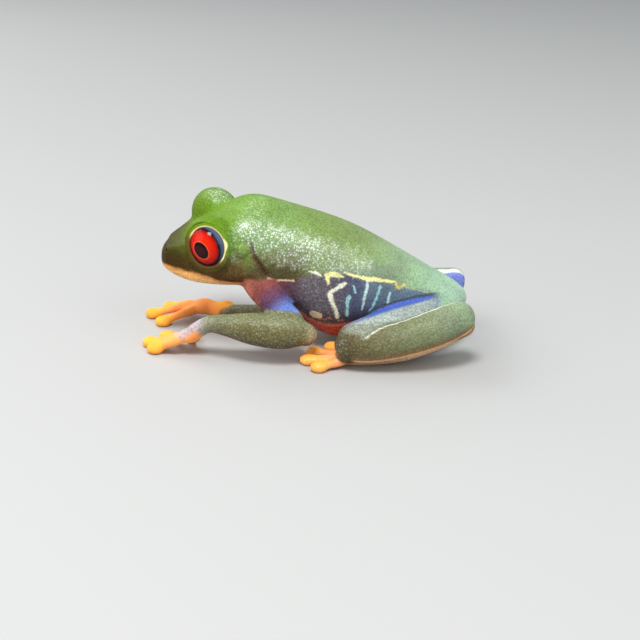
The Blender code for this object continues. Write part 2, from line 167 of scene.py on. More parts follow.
# %% [markdown]
# ## Smooth lines through a few stations
#
# A limb swells and thins gently. Straight steps between stations would leave corners, so a
# Catmull-Rom line runs through them. It passes every station exactly, which keeps the skin
# where the solids are.

# %% A line through the stations
def smooth_steps(rows, steps):
    """Catmull-Rom points through the rows, each row a tuple of numbers."""
    padded = [rows[0], *rows, rows[-1]]
    out = []
    for i in range(len(rows) - 1):
        before, start, end, after = padded[i : i + 4]
        for k in range(steps):
            t = k / steps
            out.append(tuple(
                0.5 * (2 * b + (c - a) * t + (2 * a - 5 * b + 4 * c - d) * t**2
                       + (3 * b - a - 3 * c + d) * t**3)
                for a, b, c, d in zip(before, start, end, after)
            ))
    out.append(tuple(rows[-1]))
    return out


print("points along the left shank:", len(smooth_steps(SHANK_LEFT, 4)))

# %% [markdown]
# ## The cocked head
#
# The frog rolls its head a little, so the far eye stands higher. The roll grows along the neck,
# so one function turns any point of the head by its share of the roll.

# %% The roll of the head
def roll_angle(y):
    """How far the head is rolled at this place along the neck, in radians."""
    share = np.clip((y - ROLL_FROM) / (ROLL_TO - ROLL_FROM), 0.0, 1.0)
    return math.radians(HEAD_ROLL) * share * share * (3 - 2 * share)


def rolled(point):
    """A point of the head after the head is cocked."""
    turn = Matrix.Rotation(float(roll_angle(point.y)), 4, "Y")
    return HEAD_PIVOT + turn @ (point - HEAD_PIVOT)


def eye_place(side):
    """Centre of one eye. side is 1 for the left eye and -1 for the right."""
    return rolled(Vector((side * EYE_OUT, EYE_Y, EYE_Z)))


def gaze_turn(side):
    """Turns +Z into the direction in which the eye looks, and +Y to the top of its opening."""
    forward = math.radians(GAZE_FORWARD)
    aim = Vector((side * math.cos(forward), -math.sin(forward), 0.12)).normalized()
    return aim.to_track_quat("Z", "Y") @ Quaternion((0, 0, 1), math.radians(side * OPENING_TILT))


print("eyes at", [[round(c, 2) for c in eye_place(side)] for side in (1, -1)])

# %% [markdown]
# ## Rings and lofts
#
# Most of the frog can be drawn as circles that are squeezed, moved and then bridged to the next
# circle. Blender makes the circle and the bridge, and each ring's shape is one small function.

# %% Bridging rings into a closed form
def add_ring(bm, sides, shape, capped):
    """One circle of vertices, each moved by shape."""
    made = bmesh.ops.create_circle(bm, cap_ends=capped, segments=sides, radius=1.0)["verts"]
    for vertex in made:
        vertex.co = shape(vertex.co.copy())
    return set(made)


def bridge(bm, near, far):
    """Joins two rings with a band of faces."""
    edges = {e for ring in (near, far) for v in ring for e in v.link_edges if e.other_vert(v) in ring}
    bmesh.ops.bridge_loops(bm, edges=list(edges))


def loft(bm, shapes, sides):
    """A closed form through a row of rings."""
    last = len(shapes) - 1
    rings = [add_ring(bm, sides, shape, i in (0, last)) for i, shape in enumerate(shapes)]
    for near, far in zip(rings, rings[1:]):
        bridge(bm, near, far)


def add_ball(bm, centre, radii, turn=Quaternion(), detail=4):
    """An ellipsoid with the given half sizes."""
    place = Matrix.Translation(centre) @ turn.to_matrix().to_4x4() @ Matrix.Diagonal((*radii, 1.0))
    bmesh.ops.create_icosphere(bm, subdivisions=detail, radius=1.0, matrix=place)


def object_from(bm, name):
    """Stores a bmesh as a new object with its faces pointing out."""
    bmesh.ops.recalc_face_normals(bm, faces=bm.faces)
    mesh = bpy.data.meshes.new(name)
    bm.to_mesh(mesh)
    bm.free()
    obj = bpy.data.objects.new(name, mesh)
    bpy.context.scene.collection.objects.link(obj)
    return obj


# %% Head, trunk and brows
def trunk_shape(y, top, level, bottom, half, power):
    """Squeezes a unit circle into one cross-section of the head or trunk."""
    def shape(co):
        across = math.copysign(abs(co.x) ** (2 / power), co.x) * half
        height = top - level if co.y > 0 else level - bottom
        up = math.copysign(abs(co.y) ** (2 / power), co.y) * height
        return rolled(Vector((across, y, level + up)))
    return shape


def add_tube(bm, stations, steps=4, sides=24):
    """A limb segment: round rings along a smooth line, with domed ends."""
    line = smooth_steps(stations, steps)
    points = [Vector(row[:3]) for row in line]
    radii = [row[3] for row in line]
    turns = []
    for i in range(len(points)):
        along = points[min(i + 1, len(points) - 1)] - points[max(i - 1, 0)]
        turns.append(along.normalized().to_track_quat("Z", "Y"))
    dome = [math.radians(a) for a in (80, 60, 40, 20)]

    def domed(end, way, angles):
        p, r, q = points[end], radii[end], turns[end]
        return [(p + q @ Vector((0, 0, way * r * math.sin(a))), r * math.cos(a), q) for a in angles]

    places = domed(0, -1, dome) + list(zip(points, radii, turns)) + domed(-1, 1, reversed(dome))
    loft(bm, [lambda co, p=p, r=r, q=q: p + q @ (co * r) for p, r, q in places], sides)


RIDGE = ((3.3, -12.6, 11.6, 1.5), (2.4, -14.4, 11.0, 1.0), (1.6, -15.7, 10.6, 0.75))


def add_brows(bm):
    """The domes that carry the eyes, and the ridge from each eye to the snout."""
    for side in (1, -1):
        add_ball(bm, eye_place(side) + Vector((-side * BROW_INWARD, 0, 0)), BROW_HALF, gaze_turn(side))
        add_tube(bm, [(*rolled(Vector((side * x, y, z))), radius) for x, y, z, radius in RIDGE])


flesh = bmesh.new()
loft(flesh, [trunk_shape(*row) for row in smooth_steps(TRUNK_RINGS, 4)], 64)
add_brows(flesh)
print("head and trunk:", len(flesh.faces), "faces")

# %% Arms, legs, hands and feet
def add_digits(bm, palm, digits):
    """Fingers or toes from the palm to their round discs."""
    for bend, tip in digits:
        bend, tip = Vector(bend), Vector(tip)
        start = Vector(palm[:3]).lerp(bend, 0.2)
        slender = bend.lerp(tip, 0.55)
        add_tube(bm, (
            (*start, DIGIT_RADIUS * 1.3), (*bend, DIGIT_RADIUS * 1.12),
            (*slender, DIGIT_RADIUS), (*tip, DIGIT_RADIUS),
        ), sides=16)
        aim = tip - bend
        turn = Vector((aim.x, aim.y, 0)).to_track_quat("Y", "Z")
        add_ball(bm, tip, (DISC_RADIUS * 0.95, DISC_RADIUS, DISC_HEIGHT), turn, detail=3)


LIMBS = (
    UPPER_ARM_LEFT, UPPER_ARM_RIGHT, FOREARM_LEFT, FOREARM_RIGHT, THIGH_LEFT, THIGH_RIGHT,
    SHANK_LEFT, SHANK_RIGHT, TARSUS_LEFT, TARSUS_RIGHT,
)
HANDS = ((PALM_LEFT, HAND_LEFT), (PALM_RIGHT, HAND_RIGHT))
FEET = ((TARSUS_LEFT[-1], FOOT_LEFT), (TARSUS_RIGHT[-1], FOOT_RIGHT))
for limb in LIMBS:
    add_tube(flesh, limb)
for palm, digits in HANDS:
    x, y, z, half = palm
    add_ball(flesh, Vector((x, y, z)), (half, half * 1.15, half * 0.72))
    add_digits(flesh, palm, digits)
for sole, digits in FEET:
    x, y, z, half = sole
    add_ball(flesh, Vector((x, y - 0.3, z)), (half * 1.35, half * 1.5, half * 0.72))
    add_digits(flesh, sole, digits)
skin = object_from(flesh, "frog_skin")
print("loose forms:", len(skin.data.polygons), "faces")

# %% [markdown]
# ## One skin
#
# The forms still pass through each other. A voxel remesh melts them into one closed surface, as
# if clay were pressed together, and a few rounds of smoothing soften every crease. That is why
# no seam shows where a thigh meets the flank.

# %% Melting the forms together
VOXEL = 0.19  # small enough for a lip, large enough for under 200,000 triangles
SOFTENING_ROUNDS = 8


def apply_modifiers(obj):
    """Bakes the object's modifiers into its mesh."""
    graph = bpy.context.evaluated_depsgraph_get()
    mesh = bpy.data.meshes.new_from_object(obj.evaluated_get(graph))
    obj.modifiers.clear()
    obj.data = mesh


remesh = skin.modifiers.new("melt", "REMESH")
remesh.mode = "VOXEL"
remesh.voxel_size = VOXEL
soften = skin.modifiers.new("soften", "SMOOTH")
soften.factor = 0.5
soften.iterations = SOFTENING_ROUNDS
apply_modifiers(skin)
for vertex in skin.data.vertices:
    vertex.co.z = max(vertex.co.z, 0.0)
print("one skin:", len(skin.data.polygons), "faces")

# %% [markdown]
# ## Eye openings, mouth and nostrils
#
# The lids, lips and nostrils have clean edges that a remesh would blur. So closed cutters are
# taken away from the skin afterwards: a socket and a flared opening for each eye, a thin curved
# blade for the mouth, and two small pits.

# %% Cutting clean edges
LID_STEPS = 72
SOCKET_GAP = 0.06  # between the eyeball and the flesh behind it
NOSTRIL_OUT, NOSTRIL_Y, NOSTRIL_Z = 1.75, -16.15, 10.75
NOSTRIL_HALF = (0.26, 0.32, 0.22)
BLADE_FROM, BLADE_REACH, BLADE_THICK = 0.34, 0.66, 0.12  # the cut between the lips
OPENING_START = 0.97  # width of the opening at its narrow end, as a share of the measures above
OPENING_STEPS = 16


def opening_scale(depth):
    """How wide the eye opening is at this depth along the gaze, as a share of its measures."""
    return OPENING_START + (OPENING_FLARE - OPENING_START) * (depth - OPENING_DEPTH) / OPENING_REACH


def add_opening(bm, side):
    """The flared opening between the lids of one eye."""
    turn, centre = gaze_turn(side), eye_place(side)
    depths = [
        OPENING_DEPTH + 1.3 * OPENING_REACH * k / OPENING_STEPS for k in range(OPENING_STEPS + 1)
    ]

    def shape(co, d):
        s = opening_scale(d)
        return centre + turn @ Vector((co.x * s * OPENING_WIDE / 2, co.y * s * OPENING_TALL / 2, d))

    loft(bm, [lambda co, d=d: shape(co, d) for d in depths], LID_STEPS)


def add_lid(bm, side):
    """The rounded rim of the eyelids, a closed ring that hugs the eyeball."""
    turn, centre = gaze_turn(side), eye_place(side)
    rings = []
    for k in range(LID_STEPS):
        a = 2 * math.pi * k / LID_STEPS
        middle = Vector((LID_HALF[0] * math.cos(a), LID_HALF[1] * math.sin(a), LID_DEPTH))
        out = Vector((math.cos(a), math.sin(a), 0))

        def shape(co, middle=middle, out=out):
            return centre + turn @ (middle + LID_WIDE * co.x * out + Vector((0, 0, LID_THICK * co.y)))

        rings.append(add_ring(bm, 12, shape, False))
    for near, far in zip(rings, rings[1:] + rings[:1]):
        bridge(bm, near, far)


def add_mouth(bm):
    """A thin blade that follows the lips round the snout."""
    half_path = []
    for y, _, level, bottom, half, power in smooth_steps(TRUNK_RINGS, 4):
        if y < MOUTH_FROM:
            x = half * (1 - MOUTH_DROP**power) ** (1 / power)
            half_path.append(Vector((x, y, level - MOUTH_DROP * (level - bottom))))
    path = half_path[::-1] + [Vector((-p.x, p.y, p.z)) for p in half_path]

    def shape(co, lip, out):
        thick = BLADE_THICK * co.y * (1 + 0.6 * co.x)
        return rolled(lip + out * (BLADE_FROM + BLADE_REACH * co.x) + Vector((0, 0, thick)))

    shapes = []
    for lip in path:
        out = Vector((lip.x, lip.y - MOUTH_FROM, -0.25 * abs(lip.x))).normalized()
        shapes.append(lambda co, lip=lip, out=out: shape(co, lip, out))
    loft(bm, shapes, 8)


def cut(obj, build, operation="DIFFERENCE"):
    """Takes one closed cutter away from a solid, or joins it on."""
    bm = bmesh.new()
    build(bm)
    cutter = object_from(bm, "cutter")
    boolean = obj.modifiers.new("cut", "BOOLEAN")
    boolean.operation = operation
    boolean.solver = "MANIFOLD"
    boolean.object = cutter
    apply_modifiers(obj)
    bpy.data.objects.remove(cutter, do_unlink=True)


for side in (1, -1):
    socket_half = [half + SOCKET_GAP for half in EYE_HALF]
    nostril = rolled(Vector((side * NOSTRIL_OUT, NOSTRIL_Y, NOSTRIL_Z)))
    cut(skin, lambda bm: add_ball(bm, eye_place(side), socket_half, gaze_turn(side), detail=5))
    cut(skin, lambda bm: add_opening(bm, side))
    cut(skin, lambda bm: add_lid(bm, side), "UNION")
    cut(skin, lambda bm: add_ball(bm, nostril, NOSTRIL_HALF, detail=3))
cut(skin, add_mouth)
print("after cutting:", len(skin.data.polygons), "faces")

# %% Lids that flow into the domes
def lid_view(points, side):
    """For each point: distance from the gaze in lid radii, how far up and back, depth, and angle."""
    local = np.array(gaze_turn(side).to_matrix().inverted()) @ (points - np.array(eye_place(side))).T
    u, v = local[0] * side / LID_HALF[0], local[1] / LID_HALF[1]
    return np.hypot(u, v), 0.6 * v + 0.8 * u, local[2], np.arctan2(v, u)


LID_SPREAD = 1.32  # how far out the lid flows, in lid radii
LID_SOFTENING_ROUNDS = 12
bm = bmesh.new()
bm.from_mesh(skin.data)
points = np.array([v.co for v in bm.verts])
outer_lid = np.zeros(len(points), bool)
for side in (1, -1):
    rim, _, depth, _ = lid_view(points, side)
    outer_lid |= (rim > 1.0) & (rim < LID_SPREAD) & (depth > 0.6)
chosen = [v for v, soft in zip(bm.verts, outer_lid) if soft]
for _ in range(LID_SOFTENING_ROUNDS):
    bmesh.ops.smooth_vert(bm, verts=chosen, factor=0.5, use_axis_x=True, use_axis_y=True, use_axis_z=True)
bm.to_mesh(skin.data)
bm.free()
print("softened:", len(chosen), "vertices")

# %% [markdown]
# ## Painting with distance
#
# The frog's colours follow its anatomy: green above, a barred dark flank, blue along the
# thighs, orange hands and feet. Some layers also paint shade in creases and under the body, and
# glints where light falls on the wet skin. A texture map would need a picture. Instead every
# vertex is asked how far it lies from a limb or from a drawn stroke, and that distance decides
# how much of each colour it takes.

# %% Helpers for distances
FAR = 1e9


def ramp(value, low, high):
    """0 below low, 1 above high, smooth in between. low may be the larger one."""
    t = np.clip((value - low) / (high - low), 0.0, 1.0)
    return t * t * (3 - 2 * t)


def limb_field(points, stations):
    """For each point: distance to the limb, place along it from 0 to 1, and direction from its line."""
    rows = np.array(smooth_steps(stations, 2))
    best = np.full(len(points), FAR)
    along = np.zeros(len(points))
    offset = np.zeros((len(points), 3))
    for i, (a, b) in enumerate(zip(rows, rows[1:])):
        step = b[:3] - a[:3]
        t = np.clip((points - a[:3]) @ step / (step @ step), 0.0, 1.0)
        arm = points - (a[:3] + t[:, None] * step)
        reach = np.linalg.norm(arm, axis=1)
        distance = reach - (a[3] + t * (b[3] - a[3]))
        near = distance < best
        best[near] = distance[near]
        along[near] = ((i + t) / (len(rows) - 1))[near]
        offset[near] = (arm / np.maximum(reach, 1e-6)[:, None])[near]
    return best, along, offset


def stroke(y, z, rows):
    """Distance in the side view from the edge of a stroke. Its rows are y, z and half width."""
    best = np.full(len(y), FAR)
    for (ay, az, aw), (by, bz, bw) in zip(rows, rows[1:]):
        dy, dz = by - ay, bz - az
        t = np.clip(((y - ay) * dy + (z - az) * dz) / (dy * dy + dz * dz), 0.0, 1.0)
        best = np.minimum(best, np.hypot(y - ay - t * dy, z - az - t * dz) - aw - t * (bw - aw))
    return best


# %% The strokes of the flank, the fold and the eardrum
YELLOW, CREAM, OCHRE, SAGE = (242, 234, 158), (244, 242, 218), (216, 196, 120), (168, 178, 140)
TURQUOISE, PALE, PINK, PEACH = (160, 220, 220), (202, 230, 226), (236, 196, 172), (196, 112, 94)
BONE, GREY = (250, 226, 190), (112, 112, 120)
MARKS = (
    (((-5.44, 8.87, 0.05), (-4.55, 8.42, 0.07), (-2.7, 8.44, 0.06)), PINK),
    (((-1.1, 9.5, 0.05), (-0.4, 9.35, 0.14), (0.0, 9.12, 0.1)), CREAM),
    (((0.55, 9.15, 0.12), (1.1, 9.2, 0.24), (1.65, 9.17, 0.26), (2.42, 8.9, 0.07)), YELLOW),
    (((0.75, 9.0, 0.24), (0.8, 8.7, 0.2), (0.86, 8.2, 0.07)), YELLOW),
    (((2.5, 9.38, 0.06), (3.4, 9.02, 0.1), (4.1, 8.84, 0.12), (4.9, 8.54, 0.19), (5.5, 8.5, 0.2),
      (6.6, 8.26, 0.13), (7.9, 7.98, 0.07)), YELLOW),
    (((7.94, 7.98, 0.07), (8.05, 7.46, 0.13), (8.35, 7.33, 0.13), (8.9, 7.66, 0.04)), OCHRE),
    (((8.9, 7.4, 0.03), (10.9, 6.75, 0.03), (12.6, 6.2, 0.02)), SAGE),
    (((2.62, 8.2, 0.14), (2.2, 7.98, 0.25), (1.6, 7.56, 0.15), (1.1, 7.3, 0.2), (1.05, 6.95, 0.27),
      (1.15, 6.4, 0.22), (1.37, 5.9, 0.19), (1.65, 5.3, 0.16), (1.8, 4.3, 0.2)), CREAM),
    (((3.05, 6.75, 0.18), (2.85, 6.2, 0.18), (2.87, 5.5, 0.1), (2.82, 4.6, 0.16)), TURQUOISE),
    (((3.5, 7.9, 0.07), (3.7, 7.15, 0.08)), TURQUOISE),
    (((4.94, 8.3, 0.08), (4.88, 7.5, 0.14), (4.65, 6.65, 0.12), (4.54, 5.8, 0.1), (4.37, 5.2, 0.04)), PALE),
    (((6.3, 7.74, 0.07), (6.13, 7.1, 0.11), (5.79, 6.15, 0.1), (5.5, 5.4, 0.08), (5.1, 4.85, 0.08)),
     TURQUOISE),
    (((7.37, 7.0, 0.06), (7.2, 6.4, 0.11), (7.09, 5.55, 0.09)), PALE),
    (((-0.33, 5.7, 0.05), (-0.33, 4.95, 0.16)), GREY),
    (((-0.72, 4.6, 0.36), (-0.55, 4.45, 0.4), (-0.15, 4.45, 0.38)), BONE),
    (((-0.1, 3.92, 0.05), (0.25, 4.0, 0.09), (0.6, 3.94, 0.04)), PEACH),
    (((0.8, 4.12, 0.04), (0.98, 4.2, 0.12), (1.2, 4.06, 0.06)), PEACH),
    (((1.9, 3.86, 0.04), (2.15, 3.94, 0.08), (2.5, 3.96, 0.03)), PEACH),
)
FOLD = (
    (-8.04, 12.8, 0.02), (-7.12, 12.2, 0.05), (-6.77, 10.93, 0.06), (-6.2, 9.96, 0.1), (-5.72, 9.0, 0.16),
)
FOLD_DEPTH = 0.24
EARDRUM = (-8.1, 11.55)  # y and z of its middle
EARDRUM_RADIUS, EARDRUM_HEIGHT = 0.72, 0.12
# The borders of the flank, as rows of y and z.
FLANK_TOP = (
    (-6.2, 9.2), (-5.44, 8.87), (-4.55, 8.42), (-2.7, 8.44), (-1.6, 9.1), (-0.4, 9.3), (0.8, 9.2),
    (2.5, 9.3), (4.1, 8.8), (4.9, 8.5), (6.6, 8.2), (8.0, 7.6), (9.5, 7.3), (12.0, 6.7),
)
FLANK_BOTTOM = (
    (-6.0, 7.0), (-4.0, 6.2), (-2.5, 5.3), (-1.35, 4.2), (-0.44, 3.75),
    (0.6, 3.5), (1.8, 3.5), (2.85, 3.7), (5.0, 4.0), (12.0, 4.6),
)


def unrolled(points):
    """The points as they would be with the head held level."""
    angle = roll_angle(points[:, 1])
    x, z = points[:, 0] - HEAD_PIVOT.x, points[:, 2] - HEAD_PIVOT.z
    level = points.copy()
    level[:, 0] = HEAD_PIVOT.x + x * np.cos(angle) - z * np.sin(angle)
    level[:, 2] = HEAD_PIVOT.z + x * np.sin(angle) + z * np.cos(angle)
    return level


def mesh_array(mesh, what):
    """One number triple per vertex, such as its place or its normal."""
    flat = np.zeros(len(mesh.vertices) * 3)
    mesh.vertices.foreach_get(what, flat)
    return flat.reshape(-1, 3)


print("marks on the flank:", len(MARKS))

# %% Finer mesh where the marks are
def refine(obj, chosen):
    """Splits the edges whose two ends are both chosen."""
    bm = bmesh.new()
    bm.from_mesh(obj.data)
    wanted = [e for e in bm.edges if chosen[e.verts[0].index] and chosen[e.verts[1].index]]
    bmesh.ops.subdivide_edges(bm, edges=wanted, cuts=1, use_grid_fill=True)
    bm.to_mesh(obj.data)
    bm.free()


points = mesh_array(skin.data, "co")
y, z = points[:, 1], points[:, 2]
marked = stroke(y, z, FOLD) < 0.4
marked |= np.hypot(y - EARDRUM[0], z - EARDRUM[1]) < EARDRUM_RADIUS + 0.25
for rows, _ in MARKS:
    marked |= stroke(y, z, rows) < 0.22
refine(skin, marked & (np.abs(points[:, 0]) > 3.2))
print("after refining:", len(skin.data.polygons), "faces")

# %% The fold and the eardrum, in the mesh
points = mesh_array(skin.data, "co")
normals = mesh_array(skin.data, "normal")
y, z = points[:, 1], points[:, 2]
beside = ramp(np.abs(points[:, 0]), 3.0, 3.6)
fold = np.maximum(stroke(y, z, FOLD), 0.0)
ear = np.hypot(y - EARDRUM[0], (z - EARDRUM[1]) * 0.9)
drum, groove = np.exp(-(((ear - 0.15) / 0.45) ** 2)), np.exp(-(((ear - EARDRUM_RADIUS) / 0.14) ** 2))
lift = -FOLD_DEPTH * np.exp(-((fold / 0.17) ** 2)) * ramp(z, 13.0, 12.0) + EARDRUM_HEIGHT * (drum - groove)
points = points + normals * (lift * beside)[:, None]
skin.data.vertices.foreach_set("co", points.ravel())
skin.data.update()
print("deepest fold in mm:", round(float(-lift.min()), 2))

# %% [markdown]
# ## The layers of colour
#
# Paint goes on as a painter would lay it: first the ground colour, then each part over it. A
# layer is a colour and a cover between 0 and 1. Colours are written as on a screen, 0 to 255,
# and turned to the renderer's linear values at the end. A living edge is never drawn with a
# ruler, so small waves shift the place where each colour changes.

# %% Helpers for paint
count = len(points)
tint = np.zeros((count, 3))


def paint(colour, cover):
    """Lays a colour over the tint."""
    global tint
    tint = tint * (1 - cover[:, None]) + np.asarray(colour, float) * cover[:, None]


def along_rows(value, rows):
    """A number that changes evenly along a value. Each row is a place and the number there."""
    return np.interp(value, [row[0] for row in rows], [row[1] for row in rows])


def along_keys(value, keys):
    """A colour that changes evenly along a value. Each key is a place and the colour there."""
    channels = [along_rows(value, [(place, colour[c]) for place, colour in keys]) for c in range(3)]
    return np.stack(channels, axis=1)


def waves(a, b, pitch):
    """Smooth uneven waves between -1 and 1, about one pitch long."""
    k = 2 * math.pi / pitch
    steep, flat = np.sin(k * (1.13 * b - 0.7 * a) + 1.7), np.sin(k * (0.83 * a - 1.21 * b) + 4.1)
    return (np.sin(k * (a + 0.6 * b)) + steep + flat) / 3


def linear(screen):
    """The renderer's linear value of a screen value from 0 to 255."""
    return ((screen / 255 + 0.055) / 1.055) ** 2.4


level = unrolled(points)
x, y, z = level[:, 0], level[:, 1], level[:, 2]
mottle = waves(y + 0.3 * x, z, 0.31)
slow = waves(y - 0.4 * x, z + 0.2 * x, 1.3)
uneven_y, uneven_z = y + 0.06 * waves(y, z, 0.55), z + 0.06 * waves(z, y, 0.47)
print("painting", count, "vertices")

# %% Head and back
BACK = (
    (-17.0, (64, 54, 20)), (-15.6, (78, 82, 18)), (-13.5, (92, 122, 12)), (-11.0, (98, 138, 18)),
    (-8.0, (108, 146, 50)), (-4.0, (116, 148, 78)), (0.0, (120, 144, 76)), (4.0, (126, 148, 88)),
    (8.0, (142, 168, 126)), (12.0, (154, 186, 154)), (16.0, (166, 198, 174)),
)
paint(along_keys(y, BACK), np.ones(count))
behind_ear, head = ramp(y, -8.6, -7.0), ramp(y, -7.2, -8.4)
paint((104, 106, 58), ramp(z + 0.3 * slow, 12.6, 10.6) * behind_ear * ramp(y, 0.5, -3.0))
paint((84, 76, 46), ramp(z + 0.3 * slow, 10.9, 9.4) * behind_ear * ramp(y, -0.5, -3.2))
# Lower on the head's sides and towards the snout the green turns olive and then brown: partly the frog's own
# colour, partly painted shade on the sides that face away from the light.
CHEEK = ((-16.0, (66, 66, 8)), (-11.5, (92, 90, 34)), (-8.0, (106, 110, 62)))
LOW_CHEEK = ((-16.0, (60, 42, 8)), (-12.0, (86, 62, 22)), (-8.0, (94, 72, 36)))
paint(along_keys(y, CHEEK), ramp(z + 0.3 * slow, 12.8, 11.2) * head)
paint(along_keys(y, LOW_CHEEK), ramp(z + 0.2 * slow, 11.6, 10.0) * head)
paint((84, 50, 22), ramp(z, 9.8, 9.2) * ramp(y, -5.6, -7.4))
paint((128, 146, 118), ramp(z + 0.2 * slow, 10.4, 9.0) * ramp(y, -2.0, 2.0) * ramp(y, 10.0, 7.0))
print("head and back painted")

# %% Lips and throat
LIP_TOP = (
    (-17.2, 9.15), (-16.2, 9.35), (-14.8, 9.52), (-12.7, 9.5), (-11.4, 9.2), (-10.6, 8.92), (-9.0, 8.8),
)
lip = along_rows(y, LIP_TOP) + 0.05 * slow
jaw = ramp(y, -7.4, -8.8)
paint((228, 160, 88), ramp(z, lip + 0.12, lip - 0.1) * jaw)
# The cream lower lip: the frog's own colour, painted lighter and warmer as painted bounce light from below.
paint((250, 190, 120), ramp(z, lip - 0.15, lip - 0.5) * jaw)
paint((236, 216, 184), ramp(z, 8.5, 8.1) * jaw)
behind_jaw = ramp(y, -8.8, -7.6)
paint((206, 122, 98), ramp(z, 8.9, 8.5) * ramp(y, -4.6, -5.4) * behind_jaw)
paint((232, 210, 180), ramp(z, 7.9, 7.3) * ramp(y, -4.2, -5.2) * behind_jaw)
print("lips and throat painted")

# %% Flank, its bars and the underside
FLANK = (
    (-5.5, (158, 92, 86)), (-4.4, (126, 66, 72)), (-3.2, (106, 76, 86)), (-1.0, (100, 90, 98)),
    (1.5, (92, 82, 96)), (3.5, (84, 86, 114)), (5.2, (102, 116, 130)), (9.0, (108, 128, 142)),
    (12.0, (108, 130, 146)),
)
flank_top, flank_bottom = along_rows(y, FLANK_TOP), along_rows(y, FLANK_BOTTOM)
beside = ramp(np.abs(x), 3.0, 3.4)
below_edge = flank_top + 0.1 * slow + 0.3 * mottle * ramp(y, -3.2, -2.2) * ramp(y, 1.0, 0.0)
inside = ramp(z, below_edge + 0.06, below_edge - 0.22) * ramp(y, -6.0, -5.3) * ramp(y, 12.6, 10.6)
paint(along_keys(y + 0.3 * slow, FLANK), inside)
paint((52, 40, 50), inside * 0.45 * ramp(z, flank_bottom + 2.0, flank_bottom + 0.4) * ramp(y, -3.4, -2.0))
paint((70, 76, 74), inside * 0.6 * ramp(mottle, 0.25, 0.6) * ramp(y, 1.6, 0.0) * ramp(y, -3.6, -2.6))
for rows, colour in MARKS:
    paint(colour, ramp(stroke(uneven_y, uneven_z, rows), 0.09, -0.03) * beside)
underside = ramp(z + 0.12 * mottle, flank_bottom + 0.1, flank_bottom - 0.25)
underside *= ramp(y, -8.0, -6.5) * ramp(y, 11.5, 9.5)
# Below the flank the skin is painted red-orange: partly the skin's own pink edge, partly painted warm red
# reflected light under the body. The peach mottling is the skin's own, and the belly and chest are cream.
paint((214, 94, 60), underside)
paint((220, 152, 130), underside * ramp(mottle, -0.1, 0.3) * ramp(z, flank_bottom - 0.6, flank_bottom - 0.3))
# Painted shade: deep red lower down under the flank.
paint((184, 48, 18), underside * ramp(z, flank_bottom - 0.35, flank_bottom - 0.75))
belly, chest = ramp(np.abs(x) + 0.3 * slow, 4.0, 1.6), ramp(y + 0.3 * slow, -2.0, -4.6)
paint((234, 208, 178), underside * np.maximum(belly, chest))
print("flank and underside painted")

# %% Arms
def over(distance):
    """How fully a limb's own colour covers the skin at this distance from the limb."""
    return ramp(distance, 0.42, 0.08)


UPPER_ARM = (
    (0.0, (188, 118, 92)), (0.35, (134, 72, 70)), (0.6, (98, 72, 106)),
    (0.8, (108, 136, 208)), (1.0, (124, 152, 220)),
)
FOREARM = (
    (0.0, (156, 138, 98)), (0.12, (112, 104, 58)), (0.5, (98, 90, 42)),
    (0.72, (112, 106, 70)), (0.88, (150, 146, 130)), (1.0, (180, 164, 168)),
)
# shine: how glossy the skin is, and how much its granule tips are painted pale as glints; each part below
# adds to it.
shine = np.zeros(count)
for upper, forearm in ((UPPER_ARM_LEFT, FOREARM_LEFT), (UPPER_ARM_RIGHT, FOREARM_RIGHT)):
    distance, place, away = limb_field(points, upper)
    cover = over(distance) * ramp(points[:, 2], 8.75, 8.35)
    paint(along_keys(place, UPPER_ARM), cover)
    paint((200, 116, 96), cover * ramp(away[:, 1], -0.45, -0.85) * ramp(place, 0.75, 0.4))
    distance, place, away = limb_field(points, forearm)
    cover = over(distance)
    paint(along_keys(place, FOREARM), cover)
    paint((126, 134, 98), 0.6 * cover * ramp(away[:, 2], 0.3, 0.85) * ramp(place, 1.0, 0.8))
    paint((84, 60, 36), cover * ramp(away[:, 2], -0.25, -0.75) * ramp(place, 0.9, 0.6))
    paint((222, 172, 128), cover * ramp(away[:, 2], -0.8, -0.95) * ramp(place, 1.0, 0.85))
    paint((214, 184, 150), cover * ramp(away[:, 1], 0.88, 0.97) * ramp(place, 0.06, 0.0))
    shine = np.maximum(shine, 0.22 * cover * ramp(place, 0.95, 0.7))
print("arms painted")

# %% Hands and feet
ORANGE, DISC = (248, 156, 84), (252, 168, 62)
LILAC = (174, 160, 172)
grain = np.ones(count)
for palm, digits in HANDS + FEET:
    reach = np.linalg.norm(points - np.array(palm[:3]), axis=1)
    hand = ramp(reach, palm[3] * 2.2, palm[3] * 1.3)
    for bend, tip in digits:
        distance, _, _ = limb_field(points, ((*palm[:3], 0.6), (*bend, 0.55), (*tip, DIGIT_RADIUS)))
        hand = np.maximum(hand, ramp(distance, 0.7, 0.4))
    paint(ORANGE, hand)
    for bend, tip in digits:
        paint(DISC, ramp(np.linalg.norm(points - np.array(tip), axis=1), DISC_RADIUS + 0.5, DISC_RADIUS))
    grain *= 1 - 0.8 * hand
    shine *= 1 - hand
back_of_hand = (*FOREARM_LEFT[-3:], PALM_LEFT, (*HAND_LEFT[0][0], 0.6))
distance, place, away = limb_field(points, back_of_hand)
cover = ramp(distance, 0.5, 0.2) * ramp(away[:, 2], -0.2, 0.4)
cover *= ramp(place, 0.2, 0.4) * ramp(place, 1.0, 0.8)
paint(LILAC, 0.9 * cover)
grain = np.maximum(grain, cover)
shine = np.maximum(shine, 0.4 * cover)
print("hands and feet painted")

